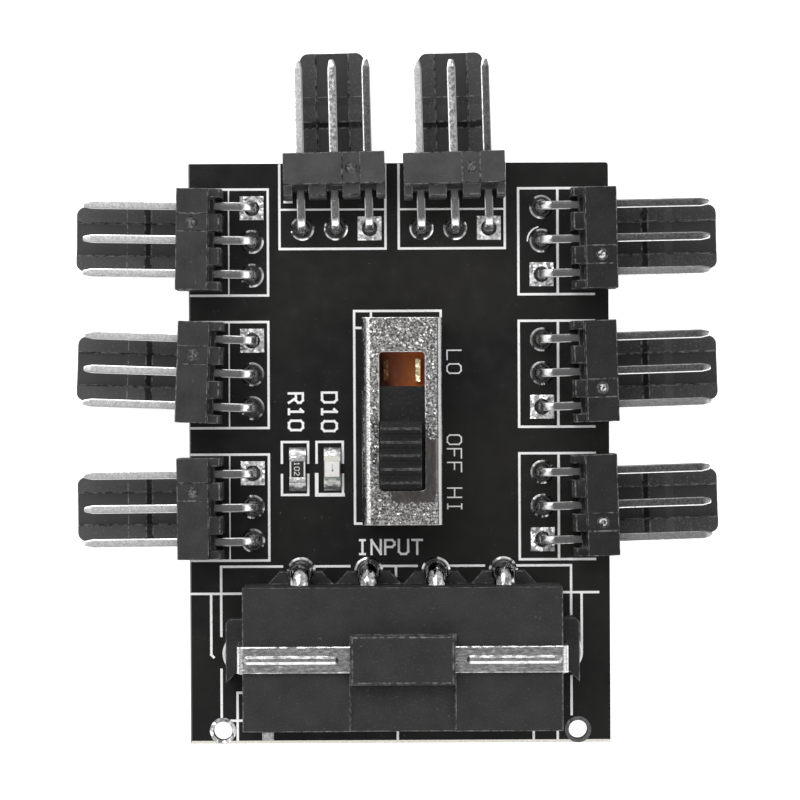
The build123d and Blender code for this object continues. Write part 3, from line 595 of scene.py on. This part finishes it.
# Brown phenolic base, painted lighter towards the right of the well and darker towards the left, as painted
# light and shade in the well
amberLook = {
    "wellShade": (0.16, 0.030, 0.010, 1), "lit": (0.63, 0.168, 0.026, 1), "acrossWell": (-1.6, 1.5),
    "cloud": (1.5, 4.0, 0.55, 0.3, 0.7), "cloudRange": (-0.15, 0.15), "bump": (5.0, 3.0, 0.01),
    "outside": (0.02, 0.011, 0.008, 1), "wellEnd": 7.3, "soft": 0.1,
    "finish": {"Roughness": 0.28, "Subsurface Weight": 0.15, "Subsurface Scale": 0.4 * mm},
}


def makeBaseAmber():
    look = amberLook
    material, tree, shader = newMaterial("baseAmber", look["finish"])
    where = places(tree, middle=switchMiddle)
    across = remap(tree, part(tree, where, "X"), *look["acrossWell"])
    across = reckon(tree, "ADD", across, pattern(tree, where, look["cloud"], *look["cloudRange"]))
    outside = past(tree, absolute(tree, part(tree, where, "Y")), look["wellEnd"], look["soft"])
    # Painted shade to the left of the well, painted light to the right
    amber = mixColours(tree, across, look["wellShade"], look["lit"])
    paint(tree, shader, mixColours(tree, outside, amber, look["outside"]))
    roughen(tree, shader, where, look["bump"])
    return material


# Chip lamp: pale laminate with green marks at its front end, under a pale lens with a small dark die.
# Chip resistor: dark glaze on pale ceramic.
chipLook = {
    "laminate": (0.86, 0.85, 0.80, 1), "laminateDark": (0.66, 0.65, 0.58, 1),
    "laminateBump": (12.0, 3.0, 0.004), "green": (0.17, 0.38, 0.30, 1), "greenAcross": (0.30, 0.58),
    "greenAlong": (-0.87, -0.72),
    "resin": (0.96, 0.96, 0.93, 1), "resinCloud": (0.86, 0.86, 0.82, 1), "resinBump": (6.0, 3.0, 0.004),
    "die": grey(0.22), "dieAt": (0.03, -0.10), "dieSize": 0.12, "dieSoft": 0.04,
    "wire": grey(0.58), "wireEnd": 0.5, "wireHalf": 0.025,
    "glaze": grey(0.011), "glazePale": grey(0.03), "glazeHalf": (0.47, 0.60), "glazeSoft": 0.02,
    "ceramic": (0.80, 0.79, 0.75, 1), "topTurn": (0.7, 0.9), "fine": 6.0, "coarse": 3.0,
    "speckle": (4.0, 0.55, 0.35, 0.65),
}


def speckled(tree, where, first, second, grain):
    return mixColours(tree, pattern(tree, where, (grain, *chipLook["speckle"])), first, second)


def makeLampLaminate():
    look = chipLook
    material, tree, shader = newMaterial("lampLaminate", {"Roughness": 0.4})
    where = places(tree, middle=topOf("lamp_base"))
    body = speckled(tree, where, look["laminateDark"], look["laminate"], look["fine"])
    across = between(tree, absolute(tree, part(tree, where, "X")), *look["greenAcross"])
    along = between(tree, part(tree, where, "Y"), *look["greenAlong"])
    body = mixColours(tree, product(tree, across, along), body, look["green"])
    paint(tree, shader, body)
    roughen(tree, shader, where, look["laminateBump"])
    return material


def makeLampResin():
    look = chipLook
    material, tree, shader = newMaterial("lampResin", {"Roughness": 0.18, "Coat Weight": 0.5})
    where = places(tree, middle=topOf("lamp_lens"))
    body = speckled(tree, where, look["resinCloud"], look["resin"], look["coarse"])
    x, y = look["dieAt"]
    fromDie = absolute(tree, reckon(tree, "SUBTRACT", part(tree, where, "X"), x))
    along = reckon(tree, "SUBTRACT", part(tree, where, "Y"), y)
    wire = product(tree, upTo(tree, fromDie, 2 * look["wireHalf"], look["wireHalf"]),
                   between(tree, along, 0.0, look["wireEnd"]))
    body = mixColours(tree, wire, body, look["wire"])
    spread = reckon(tree, "ADD", fromDie, absolute(tree, along))
    die = upTo(tree, spread, look["dieSize"], look["dieSoft"])
    paint(tree, shader, mixColours(tree, die, body, look["die"]))
    roughen(tree, shader, where, look["resinBump"])
    return material


def makeResistorCeramic():
    look = chipLook
    material, tree, shader = newMaterial("resistorCeramic", {"Roughness": 0.3})
    where = places(tree, middle=topOf("resistor_body"))
    glaze = speckled(tree, where, look["glaze"], look["glazePale"], look["fine"])
    top = remap(tree, facing(tree, "Z"), *look["topTurn"])
    for axis, half in zip("XY", look["glazeHalf"]):
        top = product(tree, top, between(tree, part(tree, where, axis), -half, half, look["glazeSoft"]))
    paint(tree, shader, mixColours(tree, top, look["ceramic"], glaze))
    return material


# White print: thin in places, so a little of the mask shows through
inkLook = {"full": grey(0.93), "thin": grey(0.45), "worn": (4.5, 4.0, 0.65, 0.60, 0.72),
           "bump": (9.0, 3.0, 0.004)}


def makePrintInk():
    look = inkLook
    material, tree, shader = newMaterial("printInk", {"Roughness": 0.6, "Specular IOR Level": 0.3})
    where = places(tree)
    thin = pattern(tree, where, look["worn"])
    paint(tree, shader, mixColours(tree, thin, look["full"], look["thin"]))
    roughen(tree, shader, where, look["bump"])
    return material


boardMask = makeBoardMask()
headerEdge = makePlasticEdge("header")
powerPlastic = makePlastic("power")
powerEdge = makePlasticEdge("power")
sliderPlastic = makePlastic("slider")
sliderEdge = makePlasticEdge("slider", topOf("switch_slider").z - edgeLook["sliderDepth"])
metals = {name: makeMetal(name) for name in metalLook}
pinTins = {name: makePinTin(name) for name in pinLook["shades"]}
pinEdges = {side: makePinEdge(side) for side in pinEdgeLook["sides"]}
strapSteel = makeStrapSteel()
solder = makeSolder()
frameSteel = makeFrameSteel()
baseAmber = makeBaseAmber()
lampLaminate = makeLampLaminate()
lampResin = makeLampResin()
resistorCeramic = makeResistorCeramic()
printInk = makePrintInk()
print("materials made:", len(bpy.data.materials))


# Finishes on the carried-over pieces. Sharp edges are broken by a small bevel, which can have its own look
edgeBreaks = {"header": 0.07 * mm, "power": 0.07 * mm, "slider": 0.05 * mm, "pin": 0.09 * mm,
              "frame": 0.06 * mm, "chip": 0.04 * mm}
bevelLook = {"weld": 0.001 * mm, "flat": radians(1), "sharp": radians(32), "segments": 2}


def finishNode(name, material, edgeBreak=0.0, edgeMaterial=None):
    piece = cadNodes[name]
    piece.data.materials.clear()
    piece.data.materials.append(material)
    if edgeBreak == 0.0:
        return
    weld = piece.modifiers.new("weld", "WELD")
    weld.merge_threshold = bevelLook["weld"]
    flatten = piece.modifiers.new("flatten", "DECIMATE")
    flatten.decimate_type = "DISSOLVE"
    flatten.angle_limit = bevelLook["flat"]
    soften = piece.modifiers.new("soften", "BEVEL")
    soften.width = edgeBreak
    soften.segments = bevelLook["segments"]
    soften.limit_method = "ANGLE"
    soften.angle_limit = bevelLook["sharp"]
    soften.use_clamp_overlap = False
    if edgeMaterial is not None:
        piece.data.materials.append(edgeMaterial)
        soften.material = 1
    piece.modifiers.new("shade", "WEIGHTED_NORMAL")


# How the three pins of a header on each side are painted lighter or darker, as painted light and shade, from
# pin 1 on
pinShades = {
    "left": ("bright", "bright", "bright"),
    "rear": ("dim", "middle", "bright"),
    "right": ("soft", "dim", "dim"),
}

finishNode("circuit_board", boardMask)
for number in headerNumbers:
    side = headerSide(number)
    finishNode(f"fan_header_{number}_housing", makeHeaderPlastic(number), edgeBreaks["header"], headerEdge)
    for pin, shade in zip(headerPins, pinShades[side]):
        finishNode(f"fan_header_{number}_pin_{pin}", pinTins[shade], edgeBreaks["pin"], pinEdges[side])
finishNode("power_housing", powerPlastic, edgeBreaks["power"], powerEdge)
for pin in powerPins:
    finishNode(f"power_pin_{pin}", metals["tailTin"])
finishNode("power_strap", strapSteel)
finishNode("switch_frame", frameSteel, edgeBreaks["frame"], metals["edgeTin"])
finishNode("switch_base", baseAmber)
finishNode("switch_slider", sliderPlastic, edgeBreaks["slider"], sliderEdge)
# The right contact and terminals are the brass with painted light, the left ones the same brass in painted
# shade
for side, brass in (("left", "contactShaded"), ("right", "contactLit")):
    finishNode(f"switch_contact_{side}", metals[brass])
    finishNode(f"switch_terminals_{side}", metals[brass])
for name in ("fan_header_solder", "power_solder", "switch_solder"):
    finishNode(name, solder)
finishNode("chip_solder", metals["chipTin"])
finishNode("lamp_base", lampLaminate, edgeBreaks["chip"])
finishNode("lamp_lens", lampResin, edgeBreaks["chip"])
finishNode("resistor_body", resistorCeramic)
finishNode("resistor_caps", metals["capTin"], edgeBreaks["chip"])
print("finishes on the carried-over pieces done")


def addObject(name, data):
    added = bpy.data.objects.new(name, data)
    bpy.context.scene.collection.objects.link(added)
    return added


def meshObject(bm, name, material):
    mesh = bpy.data.meshes.new(name)
    bm.to_mesh(mesh)
    bm.free()
    mesh.materials.append(material)
    return addObject(name, mesh)


# Pieces of print and plating. Places on the board are in millimetres from its middle
def keepPiece(bm, name, material):
    piece = meshObject(bm, name, material)
    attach(piece, hubBody)


printLook = {"line": 0.18, "code": 0.042, "thick": 0.016, "step": 0.0009, "steps": 13,
             "shift": (-0.26, -0.05)}
strokeCorners = 8


# Each stroke is a hair thicker than the one before, so that crossing strokes share no face
def addStroke(bm, start, end, width):
    start, end = Vector(start), Vector(end)
    along = end - start
    middle = (start + end) / 2
    thick = printLook["thick"] + len(bm.verts) // strokeCorners % printLook["steps"] * printLook["step"]
    size = Matrix.Diagonal((along.length + width, width, thick, 1))
    turn = Matrix.Rotation(along.angle_signed(Vector((1, 0))), 4, "Z")
    place = Matrix.Translation((middle.x, middle.y, thick / 2))
    bmesh.ops.create_cube(bm, size=1.0, matrix=place @ turn @ size)


def addPath(bm, points, width):
    for start, end in zip(points, points[1:]):
        addStroke(bm, start, end, width)


def settle(bm, place, shift=(0, 0)):
    bmesh.ops.scale(bm, verts=bm.verts, vec=(mm, mm, mm))
    move = place + Vector((shift[0] * mm, shift[1] * mm, 0))
    bmesh.ops.translate(bm, verts=bm.verts, vec=move)


# A header's place on the board in millimetres, the way it faces when it sits true, and the way to its pin 1
def headerPlace(number):
    spot, outward = headerSpot(number)
    outward = Vector((round(outward.x), round(outward.y)))
    return (spot - boardMiddle.xy) / mm, outward, Vector((outward.y, -outward.x))


# Outlines printed round the fan headers: two cross lines and two sides that run to the board's edge.
# One header has an arc round a pad, and a short tick stands by the rear edge.
headerPrint = {
    "half": 4.0, "inner": 1.48, "outer": 1.48, "toEdge": {"left": 4.36, "rear": 4.83, "right": 4.2},
    "cross": {"left": 0.10, "rear": 0.15, "right": 0.19}, "tick": ((-8.3, 19.04), (-7.8, 19.04)),
    "arcHeader": 6, "arcRadius": 1.06, "arcAngles": range(105, 181, 15), "arcWidth": 0.11,
}


def printHeaderOutlines(bm):
    look = headerPrint
    for number in headerNumbers:
        spot, outward, along = headerPlace(number)
        side = headerSide(number)
        half = along * look["half"]
        inner = spot - outward * look["inner"]
        outer = spot + outward * look["outer"]
        edge = spot + outward * look["toEdge"][side]
        addPath(bm, [edge - half, inner - half, inner + half, edge + half], printLook["line"])
        addStroke(bm, outer - half, outer + half, look["cross"][side])
    spot = headerPlace(look["arcHeader"])[0] - Vector(printLook["shift"])
    rays = [Vector((cos(radians(angle)), sin(radians(angle)))) for angle in look["arcAngles"]]
    addPath(bm, [spot + ray * look["arcRadius"] for ray in rays], look["arcWidth"])


# Outline of the switch, open to the front and right, with two short marks near its left rear corner
switchPrint = {"left": -3.10, "right": 3.43, "rear": 10.79, "front": -5.25, "stub": 0.5, "mark": 1.27}


def printSwitchOutline(bm):
    look = switchPrint
    left, right, rear, front = look["left"], look["right"], look["rear"], look["front"]
    stub, mark, line = look["stub"], look["mark"], printLook["line"]
    corners = [(right, rear - stub), (right, rear), (left, rear), (left, front), (left + stub, front)]
    addPath(bm, corners, line)
    addStroke(bm, (left + mark, rear), (left + mark, rear - stub), line)
    addStroke(bm, (left, rear - mark), (left + stub, rear - mark), line)


# Outlines of the two chips, each with a gap at its middle. The lamp's has a bold front left corner
chipPrint = {"lampX": -4.99, "resistorX": -7.61, "halfWidth": 0.99, "rear": 0.93, "front": -3.06,
             "gap": (-0.63, -1.55), "lampFront": 0.27}


def printChipOutlines(bm):
    look = chipPrint
    line = printLook["line"]
    upper, lower = look["gap"]
    for x, frontLine in ((look["lampX"], look["lampFront"]), (look["resistorX"], line)):
        left, right = x - look["halfWidth"], x + look["halfWidth"]
        addPath(bm, [(left, upper), (left, look["rear"]), (right, look["rear"]), (right, upper)], line)
        addPath(bm, [(left, lower), (left, look["front"]), (right, look["front"])], frontLine)
        addPath(bm, [(right, look["front"]), (right, lower)], line)


# Outline of the power connector: a rear line with gaps at the pins, two broken sides, at each side a short
# cross line with a line forward from it, a small corner at the front left, and ticks at the front edge
powerPrint = {
    "left": -13.23, "right": 13.18, "rear": -8.46, "pinGap": 1.2, "middle": -0.03, "stub": 0.98,
    "leftBreak": (-13.67, -16.23), "leftEnd": -19.78, "rightBreak": (-12.16, -16.84), "rightEnd": -19.7,
    "crossY": -10.5, "crossLeft": (-15.57, -11.6), "crossRight": (12.1, 15.22),
    "leftLine": (-13.99, -15.1), "hook": (0.17, -0.18), "rightLine": (13.97, -14.95),
    "corner": (-12.03, -17.97), "cornerCross": (-12.48, -20.08), "body": -11.6,
    "ticks": (0.05, 10.31, 12.12), "tickRear": -20.5, "front": -21.5,
}


def printPowerOutline(bm):
    look = powerPrint
    line = printLook["line"]
    left, right, rear, crossY = look["left"], look["right"], look["rear"], look["crossY"]
    start = left
    for pin in powerPins:
        pinX = (topOf(f"power_pin_{pin}").x - boardMiddle.x) / mm
        addStroke(bm, (start, rear), (pinX - look["pinGap"], rear), line)
        start = pinX + look["pinGap"]
    addStroke(bm, (start, rear), (right, rear), line)
    addStroke(bm, (look["middle"], rear), (look["middle"], rear - look["stub"]), line)
    sides = ((left, *look["leftBreak"], look["leftEnd"]), (right, *look["rightBreak"], look["rightEnd"]))
    for x, breakRear, breakFront, end in sides:
        addStroke(bm, (x, rear), (x, breakRear), line)
        addStroke(bm, (x, breakFront), (x, end), line)
    for outer, inner in (look["crossLeft"], look["crossRight"]):
        addStroke(bm, (outer, crossY), (inner, crossY), line)
    x, end = look["leftLine"]
    hookX, hookY = look["hook"]
    addPath(bm, [(x, crossY), (x, end), (x + hookX, end + hookY)], line)
    x, end = look["rightLine"]
    addStroke(bm, (x, crossY), (x, end), line)
    x, y = look["corner"]
    addStroke(bm, (x, y), (x, look["front"]), line)
    addStroke(bm, (x, y), (look["body"], y), line)
    x, y = look["cornerCross"]
    addStroke(bm, (x, y), (look["body"], y), line)
    for x in look["ticks"]:
        addStroke(bm, (x, look["tickRear"]), (x, look["front"]), line)


# Words in a plain stroke letter, on a grid 4 wide and 6 high
letterLook = {"high": 6, "step": 5.9}
letters = {
    "L": [[(0, 6), (0, 0), (4, 0)]],
    "O": [[(1, 0), (3, 0), (4, 1), (4, 5), (3, 6), (1, 6), (0, 5), (0, 1), (1, 0)]],
    "F": [[(0, 0), (0, 6), (4, 6)], [(0, 3), (3, 3)]],
    "H": [[(0, 0), (0, 6)], [(4, 0), (4, 6)], [(0, 3), (4, 3)]],
    "I": [[(2, 0), (2, 6)], [(1, 0), (3, 0)], [(1, 6), (3, 6)]],
    "N": [[(0, 0), (0, 6), (4, 0), (4, 6)]],
    "P": [[(0, 0), (0, 6), (3, 6), (4, 5), (4, 4), (3, 3), (0, 3)]],
    "U": [[(0, 6), (0, 1), (1, 0), (3, 0), (4, 1), (4, 6)]],
    "T": [[(2, 0), (2, 6)], [(0, 6), (4, 6)]],
    "D": [[(0, 0), (0, 6), (3, 6), (4, 5), (4, 1), (3, 0), (0, 0)]],
    "R": [[(0, 0), (0, 6), (3, 6), (4, 5), (4, 4), (3, 3), (0, 3)], [(2, 3), (4, 0)]],
    "1": [[(1, 5), (2, 6), (2, 0)], [(1, 0), (3, 0)]],
    "2": [[(0, 5), (1, 6), (3, 6), (4, 5), (4, 4), (0, 0), (4, 0)]],
}
letters["0"] = letters["O"]
words = [  # word, start of its base line, height, stroke, turned down the board or not
    ("LO", (3.9, 7.8), 1.05, 0.10, True),
    ("OFF", (3.9, 1.4), 1.05, 0.10, True),
    ("HI", (3.9, -2.6), 1.05, 0.10, True),
    ("INPUT", (-2.9, -7.55), 1.05, 0.17, False),
    ("D10", (-5.55, 4.65), 1.1, 0.18, True),
    ("R10", (-8.05, 4.6), 1.05, 0.18, True),
]
chipCode = ("102", (-0.23, 0.53), 0.37)


def addWord(bm, word, start, height, width, turned):
    grid = height / letterLook["high"]
    step = letterLook["step"] * grid
    reading, upward = (Vector((0, -1)), Vector((1, 0))) if turned else (Vector((1, 0)), Vector((0, 1)))
    for place, letter in enumerate(word):
        corner = Vector(start) + reading * step * place
        for path in letters[letter]:
            points = [corner + reading * grid * across + upward * grid * up for across, up in path]
            addPath(bm, points, width)


def makePrint():
    bm = bmesh.new()
    printHeaderOutlines(bm)
    printSwitchOutline(bm)
    printChipOutlines(bm)
    printPowerOutline(bm)
    addStroke(bm, *headerPrint["tick"], printLook["line"])
    settle(bm, boardMiddle, printLook["shift"])
    keepPiece(bm, "print_lines", printInk)
    bm = bmesh.new()
    for word in words:
        addWord(bm, *word)
    settle(bm, boardMiddle, printLook["shift"])
    keepPiece(bm, "print_words", printInk)
    bm = bmesh.new()
    addWord(bm, *chipCode, printLook["code"], True)
    settle(bm, topOf("resistor_body"))
    keepPiece(bm, "print_code", printInk)


# Bright tin on the square pad of each header's pin 1, round the solder collar, and a test pad at the front
padLook = {"pitch": 2.54, "half": 0.90, "hole": 0.60, "foot": 0.005, "low": 0.085, "high": 0.105, "steps": 24,
           "weld": 0.001, "edgePad": ((-10.14, -21.34), (-9.86, -21.34)), "edgePadWidth": 0.6}


# The ring grows loop by loop from the hole's lower rim: out to the pad's foot, up, in and down again
def addSquareRing(bm, spot):
    look = padLook
    place = Matrix.Translation((*spot, look["low"]))
    rim = bmesh.ops.create_circle(bm, segments=look["steps"], radius=look["hole"], matrix=place)["verts"]
    edges = list({edge for vertex in rim for edge in vertex.link_edges})
    for square, level in ((True, "foot"), (True, "high"), (False, "high"), (False, "low")):
        grown = bmesh.ops.extrude_edge_only(bm, edges=edges)["geom"]
        edges = [item for item in grown if isinstance(item, bmesh.types.BMEdge) and item.is_boundary]
        for vertex in {vertex for edge in edges for vertex in edge.verts}:
            ray = (vertex.co.xy - spot).normalized()
            reach = look["half"] / max(abs(ray.x), abs(ray.y)) if square else look["hole"]
            vertex.co = (*(spot + ray * reach), look[level])
    bmesh.ops.remove_doubles(bm, verts=bm.verts, dist=look["weld"])


def makePads():
    bm = bmesh.new()
    for number in headerNumbers:
        spot, _, along = headerPlace(number)
        addSquareRing(bm, spot + along * padLook["pitch"])
    bmesh.ops.recalc_face_normals(bm, faces=bm.faces)
    settle(bm, boardMiddle)
    keepPiece(bm, "square_pads", metals["padTin"])
    bm = bmesh.new()
    addStroke(bm, *padLook["edgePad"], padLook["edgePadWidth"])
    settle(bm, boardMiddle)
    keepPiece(bm, "edge_pad", metals["capTin"])


# Plated rings round the two corner holes, on both faces
ringLook = {"inner": 0.72 * mm, "outer": 0.99 * mm, "thick": 0.035 * mm, "fromSide": 2.45 * mm,
            "fromFront": 1.0 * mm, "steps": 40}


def makeCornerRings():
    look = ringLook
    corners = {"left": (boardLow.x + look["fromSide"], "padTin"),
               "right": (boardHigh.x - look["fromSide"], "dullTin")}
    for name, (x, plating) in corners.items():
        centre = Vector((x, boardLow.y + look["fromFront"], 0))
        bm = bmesh.new()
        for base, top in ((boardTop, look["thick"]), (boardLow.z, -look["thick"])):
            section = [(look["inner"], 0), (look["outer"], 0), (look["outer"], top), (look["inner"], top)]
            points = [bm.verts.new((centre.x + across, centre.y, base + up)) for across, up in section]
            edges = [bm.edges.new(pair) for pair in zip(points, points[1:] + points[:1])]
            bmesh.ops.spin(bm, geom=points + edges, cent=centre, axis=(0, 0, 1), angle=2 * pi,
                           steps=look["steps"], use_merge=True)
        bmesh.ops.recalc_face_normals(bm, faces=bm.faces)
        keepPiece(bm, f"corner_ring_{name}", metals[plating])


makePrint()
makePads()
makeCornerRings()
print("print and plating made")


# Pale floor, soft light from the upper left, and the photograph's view straight down
stageLook = {
    "floorHalf": 0.6, "floorDrop": 0.02 * mm, "floorColour": grey(0.82), "floorGlow": 0.8,
    "skyStrength": 0.9, "skyRim": 0.55, "rimTo": 0.35, "skyTop": 0.12, "topFrom": (0.95, 0.985),
}
lampLooks = {
    "keyLamp": {"at": (-0.16, 0.24, 0.40), "size": 0.34, "power": 1.15},
    "fillLamp": {"at": (0.34, -0.05, 0.26), "size": 0.30, "power": 0.25},
    "frontLamp": {"at": (0.02, -0.36, 0.24), "size": 0.30, "power": 0.3},
}
photoView = {"distance": 420 * mm, "widthShown": 60.38 * mm, "centre": (0.205 * mm, -0.1 * mm),
             "sensor": 36.0, "roll": radians(-0.27)}


# The floor is clear from below, so that the underside can be looked at
def makeFloor():
    bm = bmesh.new()
    bmesh.ops.create_grid(bm, x_segments=1, y_segments=1, size=stageLook["floorHalf"])
    bmesh.ops.translate(bm, verts=bm.verts, vec=(0, 0, -stageLook["floorDrop"]))
    look = {"Base Color": stageLook["floorColour"], "Roughness": 0.9, "Specular IOR Level": 0.1,
            "Emission Color": grey(1.0)}
    material, tree, shader = newMaterial("floorPaper", look)
    path = addNode(tree, "ShaderNodeLightPath", {})
    seen = reckon(tree, "MAXIMUM", path.outputs["Is Camera Ray"], path.outputs["Is Glossy Ray"])
    seen = reckon(tree, "MAXIMUM", seen, path.outputs["Is Transmission Ray"])
    tree.links.new(product(tree, seen, stageLook["floorGlow"]), shader.inputs["Emission Strength"])
    fromBelow = addNode(tree, "ShaderNodeNewGeometry", {}).outputs["Backfacing"]
    clear = addNode(tree, "ShaderNodeBsdfTransparent", {})
    oneSided = addNode(tree, "ShaderNodeMixShader", {0: fromBelow, 1: shader.outputs[0], 2: clear.outputs[0]})
    tree.links.new(oneSided.outputs[0], tree.nodes["Material Output"].inputs["Surface"])
    floor = meshObject(bm, "floor", material)


# The sky dims towards the floor and has a dark opening overhead, which flat metal mirrors
def makeSky():
    look = stageLook
    world = bpy.data.worlds.new("studio")
    bpy.context.scene.world = world
    world.use_nodes = True
    tree = world.node_tree
    height = part(tree, addNode(tree, "ShaderNodeTexCoord", {}).outputs["Generated"], "Z")
    rim = remap(tree, height, 0.0, look["rimTo"], look["skyRim"], 1.0)
    opening = remap(tree, height, *look["topFrom"], 1.0, look["skyTop"])
    background = tree.nodes["Background"]
    tree.links.new(product(tree, rim, opening), background.inputs["Color"])
    background.inputs["Strength"].default_value = look["skyStrength"]


def makeLamps():
    for name, look in lampLooks.items():
        lamp = bpy.data.lights.new(name, "AREA")
        lamp.size = look["size"]
        lamp.energy = look["power"]
        holder = addObject(name, lamp)
        holder.location = look["at"]
        holder.rotation_euler = (-Vector(look["at"])).to_track_quat("-Z", "Y").to_euler()


def makeCamera():
    camera = bpy.data.cameras.new("camera")
    camera.sensor_width = photoView["sensor"]
    camera.lens = photoView["sensor"] * photoView["distance"] / photoView["widthShown"]
    holder = addObject("camera", camera)
    holder.location = (*photoView["centre"], boardTop + photoView["distance"])
    holder.rotation_euler = (0, 0, photoView["roll"])
    bpy.context.scene.camera = holder


makeFloor()
makeSky()
makeLamps()
makeCamera()
bpy.context.scene.view_settings.view_transform = "Standard"
print("floor, light and camera set")
